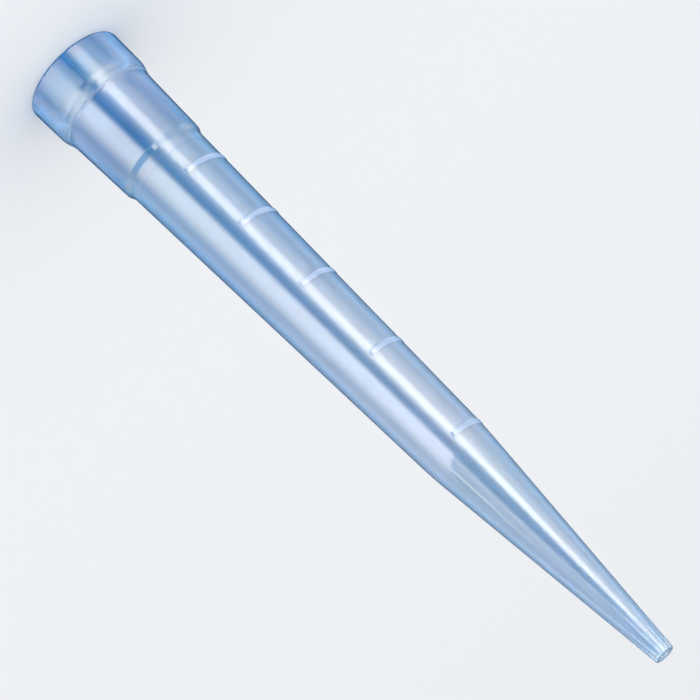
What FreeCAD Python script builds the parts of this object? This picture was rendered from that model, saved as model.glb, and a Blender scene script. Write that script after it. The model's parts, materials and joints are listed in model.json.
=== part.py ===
import FreeCAD, Part

import math
import os
from collections import namedtuple

# A disposable pipette tip that holds one millilitre, moulded in one piece in thin
# polypropylene. It stands on its mouth: the origin is the centre of the mouth's rim, +Z
# runs up the axis to the fine end, and -Y is the front. Lengths are in millimetres,
# angles in degrees and volumes in microlitres, which are cubic millimetres.

# outside lengths, from the mouth's rim to the fine end
OVERALL_LENGTH = 71.0
COLLAR_LENGTH = 4.66  # rim to the foot of the collar's shoulder
SHOULDER_LENGTH = 0.93  # the last part of the collar, where it falls to the sleeve
SLEEVE_LENGTH = 6.64
NECK_LENGTH = 0.55  # the short cone that steps in from the sleeve to the barrel
POINT_LENGTH = 23.7  # the steeper cone, from the crease to the fine end

# the socket that a pipette's nozzle is pushed into, as deep as the collar and the sleeve
SOCKET_FLOOR_RADIUS = 3.58
SOCKET_TAPER = 1.85  # half angle
LEAD_IN_LENGTH = 0.75
LEAD_IN_WIDENING = 0.22
SEAT_LENGTH = 1.35  # the short cone between the socket and the barrel's bore
SEAT_WIDTH = 0.355  # how much narrower the bore's radius is beyond the seat

# the bore beyond the socket
BORE_CREASE_RADIUS = 2.425
BORE_CREASE_PAST_OUTSIDE = 1.35  # the bore turns in this much nearer to the fine end
ORIFICE_RADIUS = 0.5
ORIFICE_LAND = 0.8  # the short parallel bore at the fine end

# walls, each measured square to the axis
RIM_WALL = 0.769
SHOULDER_WALL = 0.835
SLEEVE_WALL = 0.53
BARREL_BASE_WALL = 0.625
CREASE_WALL = 0.5
FINE_END_WALL = 0.4

# rounded corners, each cut down where a side next to it is too short
RIM_ROUND = 0.18
RIM_INNER_ROUND = 0.08
SHOULDER_ROUND = 2.6
SHOULDER_FOOT_ROUND = 2.4
NECK_ROUND = 0.3
CREASE_ROUND = 50.0  # so wide that the barrel runs into the point without an edge
FINE_END_ROUND = 0.12
FINE_END_INNER_ROUND = 0.06
MOST_OF_A_SIDE = 0.49  # the share of a straight side that one rounding may take

# graduations, raised bands round one side of the barrel
NOMINAL_VOLUME = 1000.0
GRADUATION_STEP = 200.0
GRADUATION_WIDTH = 0.52  # at the band's foot
GRADUATION_RISE = 0.05
GRADUATION_DRAFT = 0.06  # how far each flank leans in, from foot to crest
GRADUATION_SPAN = 120.0
GRADUATION_START = 12.0  # from the front, turning towards -X
GRADUATION_ROOT = 0.1  # how deep the band's own solid reaches into the wall

# heights above the rim that follow from the lengths
SLEEVE_END = COLLAR_LENGTH + SLEEVE_LENGTH
BARREL_BASE = SLEEVE_END + NECK_LENGTH
SEAT_END = SLEEVE_END + SEAT_LENGTH
CREASE = OVERALL_LENGTH - POINT_LENGTH
BORE_CREASE = CREASE + BORE_CREASE_PAST_OUTSIDE
LAND_BASE = OVERALL_LENGTH - ORIFICE_LAND

ORIGIN = FreeCAD.Vector(0, 0, 0)
AXIS = FreeCAD.Vector(0, 0, 1)
FRONT = -90.0  # the front's direction round the axis, counted from +X

Corner = namedtuple("Corner", "radius height rounding", defaults=(0.0,))


def along(height, base, base_value, end, end_value):
    """A value at a height, on the straight line through its values at two heights."""
    return base_value + (end_value - base_value) * (height - base) / (end - base)


def socket_radius(height):
    """The tapered socket's radius, which grows from its floor towards the mouth."""
    return SOCKET_FLOOR_RADIUS + (SLEEVE_END - height) * math.tan(math.radians(SOCKET_TAPER))


def barrel_bore_radius(height):
    """The radius of the long bore between the seat and the bore's crease."""
    widest = SOCKET_FLOOR_RADIUS - SEAT_WIDTH
    return along(height, SEAT_END, widest, BORE_CREASE, BORE_CREASE_RADIUS)


def outside_corners():
    """The outside, from the rim up to the fine end."""
    shoulder_base = COLLAR_LENGTH - SHOULDER_LENGTH
    return [
        Corner(socket_radius(0) + RIM_WALL, 0, RIM_ROUND),
        Corner(socket_radius(shoulder_base) + SHOULDER_WALL, shoulder_base, SHOULDER_ROUND),
        Corner(socket_radius(COLLAR_LENGTH) + SLEEVE_WALL, COLLAR_LENGTH, SHOULDER_FOOT_ROUND),
        Corner(socket_radius(SLEEVE_END) + SLEEVE_WALL, SLEEVE_END, NECK_ROUND),
        Corner(barrel_bore_radius(BARREL_BASE) + BARREL_BASE_WALL, BARREL_BASE, NECK_ROUND),
        Corner(barrel_bore_radius(CREASE) + CREASE_WALL, CREASE, CREASE_ROUND),
        Corner(ORIFICE_RADIUS + FINE_END_WALL, OVERALL_LENGTH, FINE_END_ROUND),
    ]


def inside_corners():
    """The bore, from the fine end down to the rim."""
    return [
        Corner(ORIFICE_RADIUS, OVERALL_LENGTH, FINE_END_INNER_ROUND),
        Corner(ORIFICE_RADIUS, LAND_BASE),
        Corner(BORE_CREASE_RADIUS, BORE_CREASE),
        Corner(barrel_bore_radius(SEAT_END), SEAT_END),
        Corner(SOCKET_FLOOR_RADIUS, SLEEVE_END),
        Corner(socket_radius(LEAD_IN_LENGTH), LEAD_IN_LENGTH),
        Corner(socket_radius(0) + LEAD_IN_WIDENING, 0, RIM_INNER_ROUND),
    ]


def place(corner):
    """The corner's point on the half plane that is turned about the axis."""
    return FreeCAD.Vector(corner.radius, 0, corner.height)


def rounded_corner(before, corner, after):
    """Where the straight sides end at a corner, and the arc between them if it has one."""
    point = place(corner)
    if not corner.rounding:
        return point, [], point
    arriving = point - place(before)
    leaving = place(after) - point
    room = MOST_OF_A_SIDE * min(arriving.Length, leaving.Length)
    turn = arriving.getAngle(leaving)
    rounding = min(corner.rounding, room / math.tan(turn / 2))
    start = point - arriving.normalize() * rounding * math.tan(turn / 2)
    end = point + leaving.normalize() * rounding * math.tan(turn / 2)
    inward = (leaving - arriving).normalize()
    middle = point + inward * rounding * (1 / math.cos(turn / 2) - 1)
    return start, [Part.Arc(start, middle, end).toShape()], end


def closed_outline(corners):
    """A face bounded by straight sides between the corners, with its round corners."""
    neighbours = zip([corners[-1]] + corners[:-1], corners, corners[1:] + [corners[0]])
    turned = [rounded_corner(*three) for three in neighbours]
    edges = []
    for (_, _, leave), (arrive, arc, _) in zip([turned[-1]] + turned[:-1], turned):
        edges.append(Part.LineSegment(leave, arrive).toShape())
        edges.extend(arc)
    return Part.Face(Part.Wire(edges))


def outside_radius(height):
    """The radius of the plain outside at a height on the barrel or the point."""
    neck, crease, end = outside_corners()[4:]
    blend_start, (arc,), blend_end = rounded_corner(neck, crease, end)
    if height <= blend_start.z:
        return along(height, neck.height, neck.radius, crease.height, crease.radius)
    if height >= blend_end.z:
        return along(height, crease.height, crease.radius, end.height, end.radius)
    blend = arc.Curve
    return blend.Center.x + math.sqrt(blend.Radius**2 - (height - blend.Center.z) ** 2)


def volume_between(low, high):
    """The volume of the bore between two of its corners, a frustum of a cone."""
    squares = low.radius**2 + low.radius * high.radius + high.radius**2
    return math.pi * abs(high.height - low.height) * squares / 3


def volume_beyond(height):
    """What the bore holds between a height above the seat and the fine end."""
    volume = 0.0
    bore = inside_corners()[:4]
    for high, low in zip(bore, bore[1:]):
        if height >= low.height:
            radius = along(height, low.height, low.radius, high.height, high.radius)
            return volume + volume_between(Corner(radius, height), high)
        volume += volume_between(low, high)
    return volume


def height_that_holds(volume):
    """The height beyond which the bore holds the volume, found by halving."""
    low, high = SEAT_END, OVERALL_LENGTH
    while high - low > 1e-6:
        middle = (low + high) / 2
        if volume_beyond(middle) > volume:
            low = middle
        else:
            high = middle
    return low


def graduation_heights():
    """One height for each whole step of volume, as many as the bore holds beyond the seat."""
    most = min(NOMINAL_VOLUME, volume_beyond(SEAT_END))
    steps = int(most / GRADUATION_STEP + 1e-9)
    return [height_that_holds(step * GRADUATION_STEP) for step in range(1, steps + 1)]


def graduation(height):
    """A raised band with leaning flanks, turned part of the way round the axis."""
    crest = GRADUATION_WIDTH / 2 - GRADUATION_DRAFT
    root = GRADUATION_WIDTH / 2 + GRADUATION_DRAFT * GRADUATION_ROOT / GRADUATION_RISE
    profile = [
        FreeCAD.Vector(outside_radius(height - root) - GRADUATION_ROOT, 0, height - root),
        FreeCAD.Vector(outside_radius(height - crest) + GRADUATION_RISE, 0, height - crest),
        FreeCAD.Vector(outside_radius(height + crest) + GRADUATION_RISE, 0, height + crest),
        FreeCAD.Vector(outside_radius(height + root) - GRADUATION_ROOT, 0, height + root),
    ]
    band = Part.Face(Part.makePolygon(profile + profile[:1])).revolve(ORIGIN, AXIS, GRADUATION_SPAN)
    band.rotate(ORIGIN, AXIS, FRONT - GRADUATION_START - GRADUATION_SPAN)
    return band


def pipette_tip():
    """The whole moulding, with its graduations."""
    wall = closed_outline(outside_corners() + inside_corners()).revolve(ORIGIN, AXIS, 360)
    bands = [graduation(height) for height in graduation_heights()]
    return wall.fuse(bands).removeSplitter()


def main():
    """Write the one solid to its STEP file and report it."""
    os.makedirs("parts", exist_ok=True)
    tip = pipette_tip()
    tip.exportStep("parts/pipette_tip.step")
    print("solids", len(tip.Solids), "valid", tip.isValid(), "volume", round(tip.Volume, 3))
    print("graduations at", [round(height, 2) for height in graduation_heights()])


main()
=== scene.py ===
"""A one millilitre pipette tip in clear blue plastic, standing on its mouth on a pale floor.

Everything is in metres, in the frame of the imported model: the origin is the centre of the
mouth's rim, +Z runs up the axis to the fine end, and the front faces -Y.
"""

import json
import logging
import math
from dataclasses import dataclass, field
from enum import Enum

import bpy
from mathutils import Matrix, Vector

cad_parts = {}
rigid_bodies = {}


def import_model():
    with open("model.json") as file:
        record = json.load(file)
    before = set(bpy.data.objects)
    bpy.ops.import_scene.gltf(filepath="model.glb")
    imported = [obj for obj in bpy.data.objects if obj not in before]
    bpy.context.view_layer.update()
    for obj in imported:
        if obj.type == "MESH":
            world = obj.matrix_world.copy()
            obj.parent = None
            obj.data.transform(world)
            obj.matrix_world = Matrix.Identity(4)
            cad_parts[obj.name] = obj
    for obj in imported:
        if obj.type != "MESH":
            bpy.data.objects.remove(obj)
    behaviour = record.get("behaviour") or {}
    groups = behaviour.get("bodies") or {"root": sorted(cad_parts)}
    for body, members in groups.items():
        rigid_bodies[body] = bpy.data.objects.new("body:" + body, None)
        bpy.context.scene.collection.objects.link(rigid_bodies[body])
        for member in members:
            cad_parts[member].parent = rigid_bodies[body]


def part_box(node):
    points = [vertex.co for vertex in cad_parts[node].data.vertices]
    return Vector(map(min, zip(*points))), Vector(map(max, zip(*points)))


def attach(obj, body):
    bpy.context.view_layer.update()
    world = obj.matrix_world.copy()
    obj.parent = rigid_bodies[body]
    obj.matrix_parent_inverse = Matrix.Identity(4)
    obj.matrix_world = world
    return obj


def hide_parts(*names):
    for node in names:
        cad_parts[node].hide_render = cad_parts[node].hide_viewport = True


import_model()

LOG = logging.getLogger("pipette_tip")
MM = 0.001
NODE = "pipette_tip"
GRADUATION_HEIGHTS = (14.98 * MM, 21.61 * MM, 28.95 * MM, 37.24 * MM, 46.86 * MM)


def calculated(
    tree: bpy.types.NodeTree, operation: str, *operands: bpy.types.NodeSocket | float
) -> bpy.types.NodeSocket:
    """Adds a math node.

    Args:
        tree: the node tree to add it to.
        operation: what the node works out.
        operands: a socket or a number for each of its inputs that is used.

    Returns:
        The socket that gives the result.
    """
    node = tree.nodes.new("ShaderNodeMath")
    node.operation = operation
    for operand, socket in zip(operands, node.inputs):
        if isinstance(operand, bpy.types.NodeSocket):
            tree.links.new(operand, socket)
        else:
            socket.default_value = operand
    return node.outputs[0]


class Ease(Enum):
    """How finely a rounded corner is divided."""

    CREASE = 2
    TIGHT = 4
    WIDE = 8


@dataclass(frozen=True)
class Corner:
    """One corner of the moulding's section, with its rounding.

    Args:
        radius: distance from the axis.
        height: height above the rim.
        rounding: radius of the arc that takes the corner off.
        ease: how many steps that arc has.
    """

    radius: float
    height: float
    rounding: float
    ease: Ease = Ease.TIGHT

    def point(self) -> Vector:
        """The corner's place in the section's half plane."""
        return Vector((self.radius, self.height))


@dataclass(frozen=True)
class Band:
    """A raised graduation on one side of the barrel.

    Args:
        height: height of its middle above the rim.
        width: height of the band at its foot.
        rise: how far its crest stands out.
        flank: width of its leaning edge.
        start: where it starts, in degrees from the front towards -X.
        span: how far round it runs, in degrees.
    """

    height: float
    width: float = 0.52 * MM
    rise: float = 0.05 * MM
    flank: float = 0.12 * MM
    start: float = 12.0
    span: float = 120.0


@dataclass
class TipSection:
    """The sizes of the moulding and the outline of its section.

    The lengths, radii and walls come first, then the roundings of the corners. The guard is
    the gap from a rounding to the next ring, but at most guard_share of the straight side
    there, and the run is the usual distance between the rings on a long side.
    """

    overall_length: float
    collar_length: float = 4.66 * MM
    shoulder_length: float = 0.93 * MM
    sleeve_length: float = 6.64 * MM
    neck_length: float = 0.55 * MM
    point_length: float = 23.7 * MM
    socket_floor_radius: float = 3.58 * MM
    socket_taper: float = math.radians(1.85)
    lead_in_length: float = 0.75 * MM
    lead_in_widening: float = 0.22 * MM
    seat_length: float = 1.35 * MM
    seat_width: float = 0.355 * MM
    bore_crease_radius: float = 2.425 * MM
    bore_crease_lag: float = 1.35 * MM
    orifice_radius: float = 0.5 * MM
    orifice_land: float = 0.8 * MM
    rim_wall: float = 0.769 * MM
    shoulder_wall: float = 0.835 * MM
    sleeve_wall: float = 0.53 * MM
    barrel_wall: float = 0.625 * MM
    crease_wall: float = 0.5 * MM
    fine_end_wall: float = 0.4 * MM
    rim_round: float = 0.18 * MM
    rim_inner_round: float = 0.08 * MM
    shoulder_round: float = 2.6 * MM
    shoulder_foot_round: float = 2.4 * MM
    neck_round: float = 0.3 * MM
    crease_round: float = 50.0 * MM
    fine_end_round: float = 0.12 * MM
    fine_end_inner_round: float = 0.06 * MM
    land_round: float = 0.4 * MM
    bore_crease_round: float = 1.5 * MM
    socket_round: float = 0.1 * MM
    guard: float = 0.1 * MM
    guard_share: float = 0.25
    run: float = 2.0 * MM
    bands: list[Band] = field(default_factory=list)

    @property
    def sleeve_end(self) -> float:
        """Height of the sleeve's upper edge, level with the socket's floor."""
        return self.collar_length + self.sleeve_length

    @property
    def barrel_base(self) -> float:
        """Height at which the neck has stepped in to the barrel."""
        return self.sleeve_end + self.neck_length

    @property
    def crease(self) -> float:
        """Height at which the barrel turns into the steeper point."""
        return self.overall_length - self.point_length

    def socket_radius(self, height: float) -> float:
        """Radius of the tapered socket at a height."""
        return self.socket_floor_radius + (self.sleeve_end - height) * math.tan(self.socket_taper)

    def bore_radius(self, height: float) -> float:
        """Works out the radius of the barrel's bore at a height.

        Args:
            height: height above the rim.

        Returns:
            The radius.
        """
        widest = self.socket_floor_radius - self.seat_width
        base = self.sleeve_end + self.seat_length
        top = self.crease + self.bore_crease_lag
        return widest + (self.bore_crease_radius - widest) * (height - base) / (top - base)

    def outside(self) -> list[Corner]:
        """Lists the corners of the outside.

        Returns:
            The corners, from the rim up to the fine end.
        """
        shoulder, foot = self.collar_length - self.shoulder_length, self.collar_length
        rim_radius = self.socket_radius(0.0) + self.rim_wall
        shoulder_radius = self.socket_radius(shoulder) + self.shoulder_wall
        foot_radius = self.socket_radius(foot) + self.sleeve_wall
        sleeve_radius = self.socket_radius(self.sleeve_end) + self.sleeve_wall
        neck_radius = self.bore_radius(self.barrel_base) + self.barrel_wall
        crease_radius = self.bore_radius(self.crease) + self.crease_wall
        end_radius = self.orifice_radius + self.fine_end_wall
        return [
            Corner(rim_radius, 0.0, self.rim_round),
            Corner(shoulder_radius, shoulder, self.shoulder_round, Ease.WIDE),
            Corner(foot_radius, foot, self.shoulder_foot_round, Ease.WIDE),
            Corner(sleeve_radius, self.sleeve_end, self.neck_round),
            Corner(neck_radius, self.barrel_base, self.neck_round),
            Corner(crease_radius, self.crease, self.crease_round, Ease.WIDE),
            Corner(end_radius, self.overall_length, self.fine_end_round),
        ]

    def inside(self) -> list[Corner]:
        """Lists the corners of the bore.

        Returns:
            The corners, from the fine end down to the rim.
        """
        seat_end = self.sleeve_end + self.seat_length
        bore_crease = self.crease + self.bore_crease_lag
        land_base = self.overall_length - self.orifice_land
        lead_in_radius = self.socket_radius(self.lead_in_length)
        mouth_radius = self.socket_radius(0.0) + self.lead_in_widening
        return [
            Corner(self.orifice_radius, self.overall_length, self.fine_end_inner_round),
            Corner(self.orifice_radius, land_base, self.land_round, Ease.CREASE),
            Corner(self.bore_crease_radius, bore_crease, self.bore_crease_round, Ease.CREASE),
            Corner(self.bore_radius(seat_end), seat_end, self.socket_round),
            Corner(self.socket_floor_radius, self.sleeve_end, self.socket_round),
            Corner(lead_in_radius, self.lead_in_length, self.socket_round),
            Corner(mouth_radius, 0.0, self.rim_inner_round),
        ]

    def rounded(self, before: Corner, corner: Corner, after: Corner) -> list[Vector]:
        """The points that take a corner round.

        Args:
            before: the corner that comes first.
            corner: the corner to round.
            after: the corner that comes next.

        Returns:
            Points (radius, height), in order along the outline.
        """
        arriving = (corner.point() - before.point()).normalized()
        leaving = (after.point() - corner.point()).normalized()
        turn = arriving.angle(leaving)
        start = corner.point() - arriving * corner.rounding * math.tan(turn / 2)
        centre = start + (leaving - arriving * arriving.dot(leaving)).normalized() * corner.rounding
        way = 1 if arriving.x * leaving.y - arriving.y * leaving.x > 0 else -1
        steps = corner.ease.value
        swings = (Matrix.Rotation(way * turn * step / steps, 2) for step in range(steps + 1))
        return [centre + swing @ (start - centre) for swing in swings]

    def rings(self) -> list[Vector]:
        """Lists every ring of the moulding, round the whole section once.

        Returns:
            The rings as (radius, height), from the rim up the outside first.
        """
        corners = self.outside() + self.inside()
        around = zip([corners[-1]] + corners[:-1], corners, corners[1:] + [corners[0]])
        arcs = [self.rounded(*three) for three in around]
        rings = []
        for arc, following in zip(arcs, arcs[1:] + arcs[:1]):
            side = following[0] - arc[-1]
            rings += arc
            if side.length > self.guard:
                step = side.normalized() * min(self.guard, side.length * self.guard_share)
                runs = max(1, round(side.length / self.run))
                for place in range(runs + 1):
                    rings.append((arc[-1] + step).lerp(following[0] - step, place / runs))
        return self.with_band_rings(rings)

    def with_band_rings(self, rings: list[Vector]) -> list[Vector]:
        """Adds the rings that bound each graduation to the moulding's outside.

        Args:
            rings: the section's rings, from the rim up the outside first.

        Returns:
            The rings with four more for each band.
        """
        top = max(range(len(rings)), key=lambda place: rings[place].y)
        outside, rest = rings[:top], rings[top:]
        for band in self.bands:
            for offset in (-self.guard, 0.0, band.width, band.width + self.guard):
                height = band.height - band.width / 2 + offset
                place = next(i for i, ring in enumerate(outside) if ring.y > height)
                below, above = outside[place - 1], outside[place]
                share = (height - below.y) / (above.y - below.y)
                outside.insert(place, below.lerp(above, share))
        return outside + rest


class MouldedTip:
    """The tip itself: one thin-walled moulding, open from the mouth to the fine end."""

    name = "pipette_tip_moulding"
    segments = 180

    def __init__(self, section: TipSection, finishes: list[bpy.types.Material]) -> None:
        """Keeps the section and the finishes.

        Args:
            section: the sizes and outline of the moulding.
            finishes: the moulding's material, then its graduations'.
        """
        self.section = section
        self.finishes = finishes

    def build(self) -> bpy.types.Object:
        """Models the moulding ring by ring, closes it, and raises its graduations.

        Returns:
            The finished object, at the origin, unturned and unscaled.
        """
        rings = self.section.rings()
        first = rings[0]
        bpy.ops.object.select_all(action="DESELECT")
        bpy.ops.mesh.primitive_circle_add(
            vertices=self.segments, radius=first.x, location=(0.0, 0.0, first.y)
        )
        tip = bpy.context.object
        tip.name = tip.data.name = self.name
        bpy.ops.object.transform_apply(location=True, rotation=True, scale=True)
        bpy.ops.object.mode_set(mode="EDIT")
        bpy.ops.mesh.select_mode(type="EDGE")
        bpy.ops.mesh.select_all(action="SELECT")
        for below, above in zip(rings, rings[1:]):
            self.extrude_ring(below, above)
        self.close()
        bpy.ops.object.mode_set(mode="OBJECT")
        for finish in self.finishes:
            tip.data.materials.append(finish)
        for band in self.section.bands:
            self.raise_band(tip, band)
        bpy.ops.object.shade_smooth()
        return tip

    def extrude_ring(self, below: Vector, above: Vector) -> None:
        """Extrudes the selected ring to the next one.

        Args:
            below: the selected ring's radius and height.
            above: the new ring's radius and height.
        """
        scale = above.x / below.x
        bpy.ops.mesh.extrude_edges_move(
            TRANSFORM_OT_translate={"value": (0.0, 0.0, above.y - below.y)}
        )
        bpy.ops.transform.resize(value=(scale, scale, 1.0), center_override=(0.0, 0.0, above.y))

    def close(self) -> None:
        """Joins the last ring to the first and points the faces outwards."""
        bpy.ops.mesh.select_all(action="DESELECT")
        bpy.ops.mesh.select_non_manifold(use_boundary=True)
        bpy.ops.mesh.bridge_edge_loops()
        bpy.ops.mesh.select_all(action="SELECT")
        bpy.ops.mesh.normals_make_consistent(inside=False)

    def raise_band(self, tip: bpy.types.Object, band: Band) -> None:
        """Extrudes one graduation out of the barrel's outside, and gives it its finish.

        Args:
            tip: the moulding.
            band: the graduation to raise.
        """
        low, high = band.height - band.width / 2, band.height + band.width / 2
        for part in (tip.data.vertices, tip.data.edges, tip.data.polygons):
            part.foreach_set("select", [False] * len(part))
        for face in tip.data.polygons:
            outwards = face.normal.x * face.center.x + face.normal.y * face.center.y > 0
            turned = math.degrees(math.atan2(-face.center.x, -face.center.y))
            in_span = band.start < turned < band.start + band.span
            face.select = outwards and in_span and low < face.center.z < high
        bpy.ops.object.mode_set(mode="EDIT")
        bpy.ops.mesh.select_mode(type="FACE")
        bpy.ops.mesh.inset(thickness=band.flank, depth=band.rise, use_even_offset=True)
        bpy.ops.mesh.select_more(use_face_step=True)
        tip.active_material_index = 1
        bpy.ops.object.material_slot_assign()
        bpy.ops.object.mode_set(mode="OBJECT")


@dataclass(frozen=True)
class Shade:
    """The plastic's colour at one height.

    Args:
        height: height above the rim.
        colour: linear red, green and blue, holding painted light at some heights and painted shade
            at others.
    """

    height: float
    colour: tuple[float, float, float]


@dataclass(frozen=True)
class Line:
    """A thin line round the tip where its wall changes, a painted highlight where it is paler and
    painted shade where it is deeper.

    Args:
        height: height of the line's middle above the rim.
        width: its width at the foot of its soft edges.
        colour: linear red, green and blue.
        strength: how far the plastic's colour and gloss go over to the line's.
        roughness: gloss of the line.
    """

    height: float
    width: float
    colour: tuple[float, float, float]
    strength: float
    roughness: float = 0.035


@dataclass(frozen=True)
class PolypropyleneFinish:
    """Milky blue polypropylene, glossy from a polished mould, paler where its wall is thinner, with
    painted light and shade.

    Args:
        name: name of the material.
        shades: the colour at a few heights, from the rim up, painted light and shade among them.
        lines: the thin lines laid over the shades, painted highlights and painted shade.
        roughness: gloss of the surface.
        see_through: share of the light that goes through rather than scattering.
        paling: share of white in the colour, from the matt grain of an etched mould.
        flow: how much the colour varies along the lines that the plastic flowed in.
        refraction: the plastic's index of refraction.
    """

    name: str = "blue_polypropylene"
    # deeper at the thick collar and paler towards the thin fine end; the lighter spans over the
    # shoulder (2.9 to 4.3 mm) and the seat (11.8 to 12.7 mm) are painted light, and the deepest
    # blue low on the collar is partly painted shade
    shades: tuple[Shade, ...] = (
        Shade(0.8 * MM, (0.065, 0.420, 0.820)),
        Shade(1.8 * MM, (0.080, 0.425, 0.800)),
        Shade(2.9 * MM, (0.175, 0.485, 0.810)),
        Shade(3.2 * MM, (0.220, 0.505, 0.820)),
        Shade(3.6 * MM, (0.300, 0.550, 0.830)),
        Shade(4.3 * MM, (0.300, 0.550, 0.830)),
        Shade(4.65 * MM, (0.180, 0.430, 0.775)),
        Shade(10.5 * MM, (0.165, 0.430, 0.755)),
        Shade(11.8 * MM, (0.220, 0.490, 0.765)),
        Shade(12.1 * MM, (0.240, 0.510, 0.785)),
        Shade(12.4 * MM, (0.280, 0.530, 0.815)),
        Shade(12.7 * MM, (0.280, 0.530, 0.815)),
        Shade(13.1 * MM, (0.250, 0.520, 0.805)),
        Shade(24.0 * MM, (0.300, 0.540, 0.825)),
        Shade(31.0 * MM, (0.380, 0.590, 0.835)),
        Shade(40.0 * MM, (0.435, 0.620, 0.845)),
        Shade(47.5 * MM, (0.470, 0.635, 0.855)),
        Shade(50.0 * MM, (0.420, 0.630, 0.845)),
        Shade(60.0 * MM, (0.430, 0.620, 0.855)),
        Shade(64.0 * MM, (0.430, 0.630, 0.865)),
        Shade(67.5 * MM, (0.430, 0.640, 0.885)),
        Shade(70.0 * MM, (0.450, 0.670, 0.905)),
        Shade(70.8 * MM, (0.650, 0.820, 0.970)),
    )
    # painted highlights: the pale lines on the rim and at the shoulder; painted shade: the deeper
    # lines inside the rim, at the shoulder's foot and at the seat
    lines: tuple[Line, ...] = (
        Line(0.00 * MM, 0.40 * MM, (0.22, 0.56, 0.98), 0.6),
        Line(0.50 * MM, 0.70 * MM, (0.05, 0.40, 0.88), 0.6),
        Line(4.46 * MM, 0.36 * MM, (0.47, 0.64, 0.88), 1.0, roughness=0.36),
        Line(4.68 * MM, 0.30 * MM, (0.08, 0.34, 0.62), 0.5),
        Line(12.84 * MM, 0.26 * MM, (0.17, 0.43, 0.70), 0.7, roughness=0.36),
    )
    roughness: float = 0.035
    see_through: float = 0.6
    paling: float = 0.0
    flow: float = 0.06
    refraction: float = 1.49

    def build(self, length: float, groups: "PlasticNodes") -> bpy.types.Material:
        """Makes the material.

        Args:
            length: the tip's overall length, over which the colour grades.
            groups: the node groups that the plastic's finishes share.

        Returns:
            The material, ready to assign.
        """
        material = bpy.data.materials.new(self.name)
        material.use_nodes = True
        nodes, links = material.node_tree.nodes, material.node_tree.links
        shader = nodes["Principled BSDF"]
        shader.inputs["IOR"].default_value = self.refraction
        shader.inputs["Transmission Weight"].default_value = self.see_through
        place = nodes.new("ShaderNodeTexCoord")
        split = nodes.new("ShaderNodeSeparateXYZ")
        grade = nodes.new("ShaderNodeMapRange")
        grade.inputs["From Max"].default_value = length
        # the colour up the tip from the shades, with their painted light and shade
        ramp = nodes.new("ShaderNodeValToRGB")
        stops = ramp.color_ramp.elements
        while len(stops) < len(self.shades):
            stops.new(1.0)
        for stop, shade in zip(stops, self.shades):
            stop.position = shade.height / length
            stop.color = (*shade.colour, 1.0)
        moulded = nodes.new("ShaderNodeGroup")
        moulded.node_tree = groups.moulding
        moulded.inputs["Paling"].default_value = self.paling
        moulded.inputs["Flow"].default_value = self.flow
        colour, gloss = ramp.outputs["Color"], None
        # the lines laid over the colour are painted highlights and painted shade
        for line in self.lines:
            drawn = nodes.new("ShaderNodeGroup")
            drawn.node_tree = groups.line
            drawn.inputs["Roughness"].default_value = self.roughness
            drawn.inputs["Line"].default_value = (*line.colour, 1.0)
            drawn.inputs["Line Roughness"].default_value = max(line.roughness, self.roughness)
            drawn.inputs["Height"].default_value = line.height
            drawn.inputs["Reach"].default_value = line.width / 2
            drawn.inputs["Strength"].default_value = line.strength
            links.new(colour, drawn.inputs["Colour"])
            if gloss is not None:
                links.new(gloss, drawn.inputs["Roughness"])
            colour, gloss = drawn.outputs["Colour"], drawn.outputs["Roughness"]
        links.new(gloss, moulded.inputs["Roughness"])
        links.new(place.outputs["Object"], split.inputs["Vector"])
        links.new(split.outputs["Z"], grade.inputs["Value"])
        links.new(grade.outputs["Result"], ramp.inputs["Fac"])
        links.new(colour, moulded.inputs["Colour"])
        links.new(moulded.outputs["Colour"], shader.inputs["Base Color"])
        links.new(moulded.outputs["Roughness"], shader.inputs["Roughness"])
        links.new(moulded.outputs["Normal"], shader.inputs["Normal"])
        return material


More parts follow.
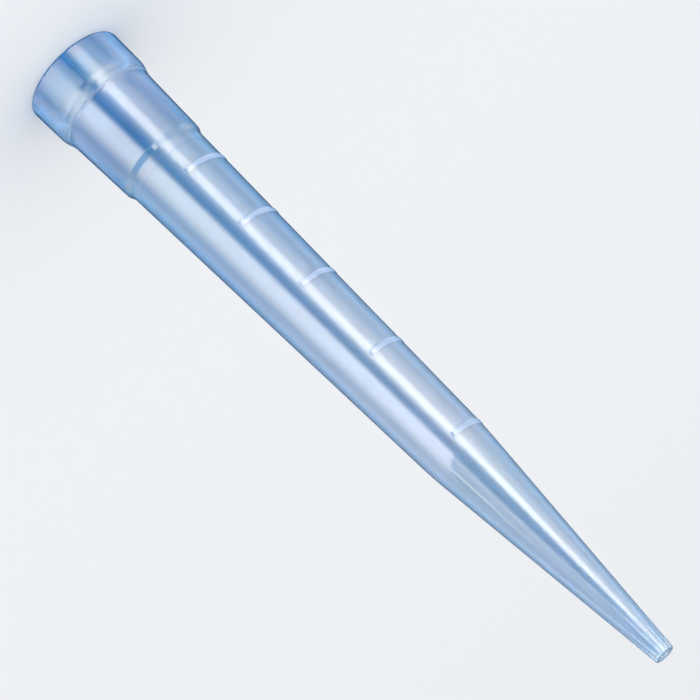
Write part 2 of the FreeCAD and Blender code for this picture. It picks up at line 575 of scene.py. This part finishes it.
class PlasticNodes:
    """The node groups that the plastic's finishes share, with the sizes of their patterns."""

    streak_stretch = (1.0, 1.0, 0.03)
    streak_scale = 1300.0
    streak_detail = 1.0
    streak_relief = 0.003 * MM
    streak_strength = 0.3
    cloud_scale = 420.0
    cloud_detail = 3.0
    haze = 0.02
    pale = (0.47, 0.67, 1.0)

    def __init__(self) -> None:
        """Makes both groups."""
        self.line = self.painted_line_group()
        self.moulding = self.moulding_group()

    def empty_group(
        self, name: str, sockets: tuple[tuple[str, str, str], ...]
    ) -> bpy.types.NodeTree:
        """Makes a node group with its sockets.

        Args:
            name: name of the group.
            sockets: for each socket its name, INPUT or OUTPUT, and its kind.

        Returns:
            The group, with nothing inside.
        """
        group = bpy.data.node_groups.new(name, "ShaderNodeTree")
        for socket, way, kind in sockets:
            group.interface.new_socket(socket, in_out=way, socket_type=f"NodeSocket{kind}")
        return group

    def painted_line_group(self) -> bpy.types.NodeTree:
        """Makes the nodes that lay a thin line of painted highlight and shade round the tip over a
        colour.

        Returns:
            The node group.
        """
        sockets = (
            ("Colour", "INPUT", "Color"),
            ("Roughness", "INPUT", "Float"),
            ("Line", "INPUT", "Color"),
            ("Line Roughness", "INPUT", "Float"),
            ("Height", "INPUT", "Float"),
            ("Reach", "INPUT", "Float"),
            ("Strength", "INPUT", "Float"),
            ("Colour", "OUTPUT", "Color"),
            ("Roughness", "OUTPUT", "Float"),
        )
        group = self.empty_group("painted_highlight_and_shade_line", sockets)
        nodes, links = group.nodes, group.links
        source, sink = nodes.new("NodeGroupInput"), nodes.new("NodeGroupOutput")
        place = nodes.new("ShaderNodeTexCoord")
        split = nodes.new("ShaderNodeSeparateXYZ")
        links.new(place.outputs["Object"], split.inputs["Vector"])
        above = calculated(group, "SUBTRACT", split.outputs["Z"], source.outputs["Height"])
        soft = nodes.new("ShaderNodeMapRange")
        soft.interpolation_type = "SMOOTHSTEP"
        soft.inputs["From Max"].default_value = 0.0
        links.new(calculated(group, "ABSOLUTE", above), soft.inputs["Value"])
        links.new(source.outputs["Reach"], soft.inputs["From Min"])
        share = soft.outputs["Result"]
        amount = calculated(group, "MULTIPLY", share, source.outputs["Strength"])
        mix = nodes.new("ShaderNodeMix")
        mix.data_type = "RGBA"
        links.new(amount, mix.inputs["Factor"])
        links.new(source.outputs["Colour"], mix.inputs["A"])
        links.new(source.outputs["Line"], mix.inputs["B"])
        links.new(mix.outputs["Result"], sink.inputs["Colour"])
        dull = nodes.new("ShaderNodeMix")
        links.new(amount, dull.inputs["Factor"])
        links.new(source.outputs["Roughness"], dull.inputs["A"])
        links.new(source.outputs["Line Roughness"], dull.inputs["B"])
        links.new(dull.outputs["Result"], sink.inputs["Roughness"])
        return group

    def moulding_group(self) -> bpy.types.NodeTree:
        """Makes the nodes for the plastic's flow lines, fine haze and matt paling.

        Returns:
            The node group, which turns a colour and a roughness into the textured ones.
        """
        sockets = (
            ("Colour", "INPUT", "Color"),
            ("Roughness", "INPUT", "Float"),
            ("Paling", "INPUT", "Float"),
            ("Flow", "INPUT", "Float"),
            ("Colour", "OUTPUT", "Color"),
            ("Roughness", "OUTPUT", "Float"),
            ("Normal", "OUTPUT", "Vector"),
        )
        group = self.empty_group("moulding_texture", sockets)
        nodes, links = group.nodes, group.links
        source, sink = nodes.new("NodeGroupInput"), nodes.new("NodeGroupOutput")
        place = nodes.new("ShaderNodeTexCoord")

        # long streaks up the tip, and a fine cloudiness
        squeeze = nodes.new("ShaderNodeVectorMath")
        squeeze.operation = "MULTIPLY"
        squeeze.inputs[1].default_value = self.streak_stretch
        streaks = nodes.new("ShaderNodeTexNoise")
        streaks.inputs["Scale"].default_value = self.streak_scale
        streaks.inputs["Detail"].default_value = self.streak_detail
        cloud = nodes.new("ShaderNodeTexNoise")
        cloud.inputs["Scale"].default_value = self.cloud_scale
        cloud.inputs["Detail"].default_value = self.cloud_detail
        links.new(place.outputs["Object"], squeeze.inputs[0])
        links.new(squeeze.outputs[0], streaks.inputs["Vector"])
        links.new(place.outputs["Object"], cloud.inputs["Vector"])

        # colour: one plus the flow times the noises' swing about their middle
        both = calculated(group, "ADD", streaks.outputs["Fac"], cloud.outputs["Fac"])
        swing = calculated(group, "SUBTRACT", both, 1.0)
        gain = calculated(group, "MULTIPLY_ADD", swing, source.outputs["Flow"], 1.0)
        tint = nodes.new("ShaderNodeVectorMath")
        tint.operation = "SCALE"
        white = nodes.new("ShaderNodeMix")
        white.data_type = "RGBA"
        white.inputs["B"].default_value = (*self.pale, 1.0)
        links.new(source.outputs["Colour"], tint.inputs[0])
        links.new(gain, tint.inputs["Scale"])
        links.new(source.outputs["Paling"], white.inputs["Factor"])
        links.new(tint.outputs[0], white.inputs["A"])
        links.new(white.outputs["Result"], sink.inputs["Colour"])

        # gloss: a little duller where the cloudiness is stronger, glossier where it is weaker
        roughness, fog = source.outputs["Roughness"], cloud.outputs["Fac"]
        dull = calculated(group, "MULTIPLY_ADD", fog, self.haze, roughness)
        links.new(calculated(group, "SUBTRACT", dull, self.haze / 2), sink.inputs["Roughness"])

        # relief: the streaks stand up by a few thousandths of a millimetre
        relief = nodes.new("ShaderNodeBump")
        relief.inputs["Strength"].default_value = self.streak_strength
        relief.inputs["Distance"].default_value = self.streak_relief
        links.new(streaks.outputs["Fac"], relief.inputs["Height"])
        links.new(relief.outputs["Normal"], sink.inputs["Normal"])
        return group


@dataclass
class StudioCamera:
    """The camera, looking down on the standing tip from the front and rolled on its axis."""

    aim: tuple[float, float, float] = (0.284 * MM, 0.0, 34.7 * MM)
    distance: float = 324.0 * MM
    elevation: float = math.radians(19.6)
    roll: float = math.radians(134.54)
    sensor: float = 36.0
    lens: float = 205.71
    clip: tuple[float, float] = (0.01, 20.0)

    def build(self) -> bpy.types.Object:
        """Adds the camera and makes it the scene's own.

        Returns:
            The camera object.
        """
        back = Vector((0.0, -math.cos(self.elevation), math.sin(self.elevation)))
        turn = (-back).to_track_quat("-Z", "Y").to_matrix() @ Matrix.Rotation(self.roll, 3, "Z")
        bpy.ops.object.select_all(action="DESELECT")
        bpy.ops.object.camera_add(
            location=Vector(self.aim) + back * self.distance, rotation=turn.to_euler()
        )
        camera = bpy.context.object
        camera.name = "camera"
        camera.data.sensor_width = self.sensor
        camera.data.lens = self.lens
        camera.data.clip_start, camera.data.clip_end = self.clip
        bpy.context.scene.camera = camera
        return camera


class Tint(Enum):
    """The colour of a softbox's light."""

    WARM = (1.0, 0.87, 0.68)
    CLEAR = (1.0, 0.92, 0.88)
    COOL = (0.55, 0.80, 1.05)
    ROSE = (1.0, 0.62, 0.45)


@dataclass(frozen=True)
class Panel:
    """A curved softbox, fading at its edges, which only reflected and transmitted rays see.

    Args:
        name: name of the panel.
        start: direction of its one edge, in degrees from the front towards -X.
        end: direction of its other edge.
        bottom: elevation of its lower edge in degrees, as seen from the tip's rim.
        top: elevation of its upper edge.
        glow: its brightness, where 1 is white.
        fades: width of the fades in degrees, at the start, the end, the bottom and the top.
        tint: its colour.
        distance: how far it stands from the axis.
    """

    name: str
    start: float
    end: float
    bottom: float
    top: float
    glow: float
    fades: tuple[float, float, float, float]
    tint: Tint = Tint.WARM
    distance: float = 1.2


@dataclass(frozen=True)
class Card:
    """A dark upright card beside the tip, which only reflected and transmitted rays see.

    Args:
        name: name of the card.
        way: direction it runs in from the axis.
        one_way: whether light from the front passes it, so that only its back is dark.
    """

    name: str
    way: tuple[float, float, float]
    one_way: bool


@dataclass
class Studio:
    """The floor, the lamp, the softboxes and the dark cards between them."""

    floor_size: float = 4.0
    floor_colour: tuple[float, float, float] = (0.86, 0.88, 0.91)
    floor_roughness: float = 0.9
    lamp_place: tuple[float, float, float] = (0.0, -0.3, 1.2)
    lamp_size: float = 1.5
    lamp_power: float = 6.0
    world_strength: float = 0.75
    dark_surround: tuple[float, float, float] = (0.02, 0.06, 0.14)
    panels: tuple[Panel, ...] = (
        Panel("right_key", -88.0, -5.5, -21.4, -8.0, 9.2, (45.0, 18.0, 0.6, 8.0), distance=0.3),
        Panel(
            "right_key_high", -88.0, -5.5, -16.0, 0.0, 7.9, (45.0, 18.0, 8.0, 0.4), Tint.CLEAR, 0.3
        ),
        Panel("left_key", 12.0, 53.0, -19.4, -6.2, 7.9, (16.0, 15.0, 2.4, 0.3)),
        Panel("left_key_low", 18.0, 53.0, -21.7, -17.0, 7.9, (11.0, 15.0, 0.6, 2.4)),
        Panel("left_key_high", 14.5, 53.0, -6.4, 27.0, 8.0, (14.0, 15.0, 0.3, 3.0)),
        Panel("left_inner", 4.0, 24.0, -19.0, -6.2, 2.3, (10.0, 8.0, 3.0, 0.6)),
        Panel("left_inner_low", 4.0, 24.0, -21.7, -17.0, 0.8, (8.0, 8.0, 0.6, 2.4)),
        Panel("left_wide", 10.0, 95.0, -21.7, -0.3, 5.2, (18.0, 45.0, 0.6, 2.2)),
        Panel("left_rim", -2.0, 132.0, -45.0, -0.3, 2.5, (26.0, 36.0, 0.6, 2.2)),
        Panel("left_edge", 90.0, 160.0, -45.0, -0.3, 1.1, (32.0, 30.0, 0.6, 2.2), Tint.COOL),
        Panel("left_top", 10.0, 95.0, 0.0, 27.0, 4.8, (18.0, 45.0, 1.5, 3.0)),
        Panel("left_top_side", 78.0, 160.0, -4.5, 18.0, 1.6, (24.0, 20.0, 3.0, 4.0)),
        Panel("left_top_rim", 10.0, 150.0, 0.5, 20.0, 2.4, (18.0, 40.0, 1.5, 3.0)),
        Panel("left_low", 15.0, 56.0, -45.0, -21.7, 6.5, (17.0, 15.0, 0.6, 0.6)),
        Panel("left_low_wide", 17.0, 85.0, -45.0, -21.7, 2.5, (17.0, 30.0, 0.6, 0.6)),
        Panel("left_low_side", 84.0, 125.0, -45.0, -21.7, 0.8, (12.0, 14.0, 0.6, 0.6), Tint.ROSE),
        Panel("left_low_edge", 112.0, 160.0, -45.0, -21.7, 0.5, (10.0, 30.0, 0.6, 0.6)),
        Panel("right_rim", -132.0, -10.0, -45.0, -0.6, 2.5, (36.0, 18.0, 0.6, 2.0)),
        Panel("right_edge", -160.0, -90.0, -45.0, -0.6, 1.1, (30.0, 32.0, 0.6, 2.0), Tint.COOL),
        Panel("right_low", -88.0, 7.0, -45.0, -21.7, 7.3, (45.0, 30.0, 0.6, 0.6)),
        Panel(
            "right_low_side", -125.0, -84.0, -45.0, -21.7, 0.8, (14.0, 12.0, 0.6, 0.6), Tint.ROSE
        ),
        Panel("right_low_edge", -160.0, -112.0, -45.0, -21.7, 0.5, (30.0, 10.0, 0.6, 0.6)),
        Panel("low_step", -14.0, 5.5, -45.0, -21.7, 2.0, (8.0, 3.0, 0.6, 0.6)),
        Panel("right_high", -75.0, -8.0, -6.6, -1.4, 1.7, (30.0, 18.0, 0.6, 2.4)),
        Panel("right_line", -34.0, -20.0, -6.6, -2.6, 1.2, (6.0, 6.0, 0.6, 1.0)),
        Panel("right_line_middle", -27.0, -7.0, -3.6, -1.2, 2.2, (7.0, 7.0, 1.0, 0.8)),
        Panel("right_line_end", -24.0, -2.0, -2.0, 0.6, 4.6, (9.0, 8.0, 0.8, 0.3)),
        Panel("end_fill", -32.0, 46.0, -2.6, 0.6, 5.0, (14.0, 14.0, 2.0, 0.3)),
        Panel("right_side_line", -64.0, -52.5, -7.6, -5.75, 7.5, (5.75, 5.75, 0.6, 0.45)),
        Panel("right_side_line_end", -67.5, -56.0, -6.4, -4.2, 4.4, (5.75, 5.75, 0.6, 1.4)),
        Panel("right_top", -88.0, 7.0, 0.8, 16.2, 7.6, (45.0, 30.0, 1.5, 1.2)),
        Panel("right_top_side", -160.0, -78.0, -4.5, 18.0, 1.6, (20.0, 24.0, 3.0, 4.0)),
        Panel("right_top_rim", -150.0, -8.0, 0.8, 30.0, 2.3, (60.0, 18.0, 1.5, 3.0)),
        Panel("front_spot", 2.0, 20.0, 21.0, 30.0, 10.0, (6.0, 6.0, 1.0, 3.0)),
    )
    panel_gap: float = 0.01
    panel_segments: int = 360
    panel_margin: float = 1.0
    cards: tuple[Card, ...] = (
        Card("front", (0.0, -1.0, 0.0), False),
        Card("left", (-1.0, 0.0, 0.0), True),
        Card("right", (1.0, 0.0, 0.0), True),
    )
    card_reach: float = 1.8
    # radius and height of the cards' inner edge, which stays just clear of the tip
    card_edge: tuple[tuple[float, float], ...] = (
        (4.79 * MM, -1.8),
        (4.79 * MM, 0.0),
        (4.745 * MM, 3.8 * MM),
        (4.42 * MM, 4.75 * MM),
        (4.2 * MM, 11.35 * MM),
        (3.96 * MM, 11.9 * MM),
        (3.09 * MM, 47.3 * MM),
        (1.0 * MM, 71.1 * MM),
        (0.0, 71.1 * MM),
        (0.0, 1.2),
    )

    def build(self) -> None:
        """Adds everything round the tip."""
        self.floor()
        self.world()
        self.lamp()
        for place, panel in enumerate(self.panels):
            self.softbox(panel, panel.distance + place * self.panel_gap)
        for card in self.cards:
            self.flag(card)

    def after_reflection(self, tree: bpy.types.NodeTree) -> bpy.types.NodeSocket:
        """Adds the nodes that tell light which has been reflected on its way.

        Args:
            tree: the node tree to add them to.

        Returns:
            A socket that is 1 for such light, 0 for the rest.
        """
        path = tree.nodes.new("ShaderNodeLightPath")
        return calculated(tree, "GREATER_THAN", path.outputs["Glossy Depth"], 0.5)

    def floor(self) -> bpy.types.Object:
        """Adds the pale floor, which stays out of reflections.

        Returns:
            The floor.
        """
        bpy.ops.object.select_all(action="DESELECT")
        bpy.ops.mesh.primitive_plane_add(size=self.floor_size)
        floor = bpy.context.object
        floor.name = "studio_floor"
        material = bpy.data.materials.new("studio_floor")
        material.use_nodes = True
        tree = material.node_tree
        nodes, links = tree.nodes, tree.links
        shader = nodes["Principled BSDF"]
        shader.inputs["Base Color"].default_value = (*self.floor_colour, 1.0)
        shader.inputs["Roughness"].default_value = self.floor_roughness
        shader.inputs["Specular IOR Level"].default_value = 0.0
        clear = nodes.new("ShaderNodeBsdfTransparent")
        choose = nodes.new("ShaderNodeMixShader")
        links.new(self.after_reflection(tree), choose.inputs[0])
        links.new(shader.outputs[0], choose.inputs[1])
        links.new(clear.outputs[0], choose.inputs[2])
        links.new(choose.outputs[0], nodes["Material Output"].inputs["Surface"])
        floor.data.materials.append(material)
        return floor

    def world(self) -> None:
        """Sets the soft light from all round, and the dark beyond the panels in reflections."""
        world = bpy.data.worlds.new("studio")
        world.use_nodes = True
        tree = world.node_tree
        nodes, links = tree.nodes, tree.links
        light = nodes["Background"]
        light.inputs["Strength"].default_value = self.world_strength
        light.inputs["Color"].default_value = (1.0, 1.0, 1.0, 1.0)
        dark = nodes.new("ShaderNodeBackground")
        dark.inputs["Color"].default_value = (*self.dark_surround, 1.0)
        choose = nodes.new("ShaderNodeMixShader")
        links.new(self.after_reflection(tree), choose.inputs[0])
        links.new(light.outputs[0], choose.inputs[1])
        links.new(dark.outputs[0], choose.inputs[2])
        links.new(choose.outputs[0], nodes["World Output"].inputs["Surface"])
        bpy.context.scene.world = world

    def lamp(self) -> None:
        """Adds the large lamp overhead."""
        bpy.ops.object.light_add(type="AREA", location=self.lamp_place)
        lamp = bpy.context.object
        lamp.name = "overhead_softbox"
        lamp.data.size = self.lamp_size
        lamp.data.energy = self.lamp_power
        lamp.visible_glossy = False

    def extrude_open_ring(self, mesh: bpy.types.Mesh, dropped: list[int], rise: Vector) -> None:
        """Opens the new ring by taking out some vertices, and extrudes the rest to a sheet.

        Args:
            mesh: the mesh of the active object, a ring of edges.
            dropped: which vertices to take out.
            rise: how far and which way to extrude.
        """
        for part in (mesh.vertices, mesh.edges):
            part.foreach_set("select", [False] * len(part))
        for place in dropped:
            mesh.vertices[place].select = True
        bpy.ops.object.mode_set(mode="EDIT")
        bpy.ops.mesh.select_mode(type="VERT")
        bpy.ops.mesh.delete(type="VERT")
        bpy.ops.mesh.select_all(action="SELECT")
        bpy.ops.mesh.extrude_edges_move(TRANSFORM_OT_translate={"value": rise})
        bpy.ops.mesh.select_all(action="SELECT")
        bpy.ops.mesh.normals_make_consistent()
        bpy.ops.object.mode_set(mode="OBJECT")

    def flag(self, card: Card) -> bpy.types.Object:
        """Adds one dark card, so that a softbox shows only on the tip's side that faces it.

        Args:
            card: where the card runs and which of its sides are dark.

        Returns:
            The card.
        """
        way = Vector(card.way)
        bpy.ops.object.select_all(action="DESELECT")
        bpy.ops.mesh.primitive_circle_add(vertices=len(self.card_edge) + 1)
        flag = bpy.context.object
        flag.name = f"card_{card.name}"
        mesh = flag.data
        for vertex, (radius, height) in zip(mesh.vertices, self.card_edge):
            vertex.co = way * radius + Vector((0.0, 0.0, height))
        self.extrude_open_ring(mesh, [len(self.card_edge)], way * self.card_reach)
        if mesh.polygons[0].normal.y > 0.0:
            mesh.flip_normals()
        mesh.materials.append(self.card_finish(card))
        flag.visible_camera = flag.visible_diffuse = flag.visible_shadow = False
        return flag

    def card_finish(self, card: Card) -> bpy.types.Material:
        """Makes a card's dark finish.

        Args:
            card: the card, whose face lets light pass if it is dark one way only.

        Returns:
            The material.
        """
        material = bpy.data.materials.new(f"card_{card.name}")
        material.use_nodes = True
        nodes, links = material.node_tree.nodes, material.node_tree.links
        dark = nodes.new("ShaderNodeEmission")
        dark.inputs["Color"].default_value = (*self.dark_surround, 1.0)
        seen = dark.outputs[0]
        if card.one_way:
            side = nodes.new("ShaderNodeNewGeometry")
            clear = nodes.new("ShaderNodeBsdfTransparent")
            choose = nodes.new("ShaderNodeMixShader")
            links.new(side.outputs["Backfacing"], choose.inputs[0])
            links.new(clear.outputs[0], choose.inputs[1])
            links.new(dark.outputs[0], choose.inputs[2])
            seen = choose.outputs[0]
        links.new(seen, nodes["Material Output"].inputs["Surface"])
        return material

    def softbox(self, panel: Panel, distance: float) -> bpy.types.Object:
        """Adds one curved panel.

        Args:
            panel: where the panel stands and how bright it is.
            distance: how far from the tip's axis it stands.

        Returns:
            The panel.
        """
        low, high = (distance * math.tan(math.radians(edge)) for edge in (panel.bottom, panel.top))
        first, last = panel.start - self.panel_margin, panel.end + self.panel_margin
        bpy.ops.object.select_all(action="DESELECT")
        bpy.ops.mesh.primitive_circle_add(
            vertices=self.panel_segments, radius=distance, location=(0.0, 0.0, low)
        )
        box = bpy.context.object
        box.name = f"softbox_{panel.name}"
        bpy.ops.object.transform_apply(location=True, rotation=True, scale=True)
        turned = [math.degrees(math.atan2(-spot.co.x, -spot.co.y)) for spot in box.data.vertices]
        dropped = [place for place, angle in enumerate(turned) if not first <= angle <= last]
        self.extrude_open_ring(box.data, dropped, Vector((0.0, 0.0, high - low)))
        box.data.materials.append(self.glow(panel, distance))
        box.visible_camera = box.visible_diffuse = box.visible_shadow = False
        return box

    def fade_group(self) -> bpy.types.NodeTree:
        """Makes the shared nodes that fade a panel's light at its four edges.

        Returns:
            The node group, whose inputs are each edge and where its fade ends.
        """
        group = bpy.data.node_groups.new("panel_fade", "ShaderNodeTree")
        edges = ("Start", "End", "Bottom", "Top")
        for edge in edges:
            for name in (edge, f"{edge} Inner"):
                group.interface.new_socket(name, in_out="INPUT", socket_type="NodeSocketFloat")
        group.interface.new_socket("Mask", in_out="OUTPUT", socket_type="NodeSocketFloat")
        nodes, links = group.nodes, group.links
        source, sink = nodes.new("NodeGroupInput"), nodes.new("NodeGroupOutput")
        place = nodes.new("ShaderNodeTexCoord")
        flip = nodes.new("ShaderNodeVectorMath")
        flip.operation = "MULTIPLY"
        flip.inputs[1].default_value = (-1.0, -1.0, 1.0)
        split = nodes.new("ShaderNodeSeparateXYZ")
        links.new(place.outputs["Object"], flip.inputs[0])
        links.new(flip.outputs[0], split.inputs[0])
        turned = calculated(group, "ARCTAN2", split.outputs["X"], split.outputs["Y"])
        height = split.outputs["Z"]
        mask = 1.0
        for edge, value in zip(edges, (turned, turned, height, height)):
            fade = nodes.new("ShaderNodeMapRange")
            fade.interpolation_type = "SMOOTHSTEP"
            links.new(value, fade.inputs["Value"])
            links.new(source.outputs[edge], fade.inputs["From Min"])
            links.new(source.outputs[f"{edge} Inner"], fade.inputs["From Max"])
            mask = calculated(group, "MULTIPLY", mask, fade.outputs["Result"])
        links.new(mask, sink.inputs["Mask"])
        return group

    def glow(self, panel: Panel, distance: float) -> bpy.types.Material:
        """Makes a panel's light.

        Args:
            panel: where its edges are and how bright it is.
            distance: how far from the tip's axis it stands.

        Returns:
            A material that lets light through and adds its own.
        """
        material = bpy.data.materials.new(f"softbox_{panel.name}")
        material.use_nodes = True
        tree = material.node_tree
        nodes, links = tree.nodes, tree.links
        fade = nodes.new("ShaderNodeGroup")
        fade.node_tree = bpy.data.node_groups.get("panel_fade") or self.fade_group()
        near, far, below, above = panel.fades
        edges = {
            "Start": math.radians(panel.start),
            "Start Inner": math.radians(panel.start + near),
            "End": math.radians(panel.end),
            "End Inner": math.radians(panel.end - far),
            "Bottom": distance * math.tan(math.radians(panel.bottom)),
            "Bottom Inner": distance * math.tan(math.radians(panel.bottom + below)),
            "Top": distance * math.tan(math.radians(panel.top)),
            "Top Inner": distance * math.tan(math.radians(panel.top - above)),
        }
        for name, value in edges.items():
            fade.inputs[name].default_value = value
        strength = calculated(tree, "MULTIPLY", fade.outputs["Mask"], panel.glow)
        glow = nodes.new("ShaderNodeEmission")
        glow.inputs["Color"].default_value = (*panel.tint.value, 1.0)
        links.new(strength, glow.inputs["Strength"])
        clear = nodes.new("ShaderNodeBsdfTransparent")
        both = nodes.new("ShaderNodeAddShader")
        links.new(glow.outputs[0], both.inputs[0])
        links.new(clear.outputs[0], both.inputs[1])
        links.new(both.outputs[0], nodes["Material Output"].inputs["Surface"])
        material.cycles.emission_sampling = "NONE"
        return material


def main() -> None:
    """Builds the tip, its studio and its camera, and logs the tip's face count."""
    logging.basicConfig(level=logging.INFO, format="%(name)s: %(message)s")
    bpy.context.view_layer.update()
    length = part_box(NODE)[1][2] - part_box(NODE)[0][2]
    section = TipSection(length, bands=[Band(height) for height in GRADUATION_HEIGHTS])
    groups = PlasticNodes()
    polished = PolypropyleneFinish()
    frosted = PolypropyleneFinish(
        "frosted_graduation", roughness=0.07, see_through=0.2, paling=0.85
    )
    finishes = [finish.build(length, groups) for finish in (polished, frosted)]
    tip = MouldedTip(section, finishes).build()
    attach(tip, "root")
    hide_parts(NODE)
    LOG.info("%s: %d faces", tip.name, len(tip.data.polygons))
    StudioCamera().build()
    Studio().build()
    bpy.context.scene.view_settings.view_transform = "Standard"


if __name__ == "__main__":
    main()
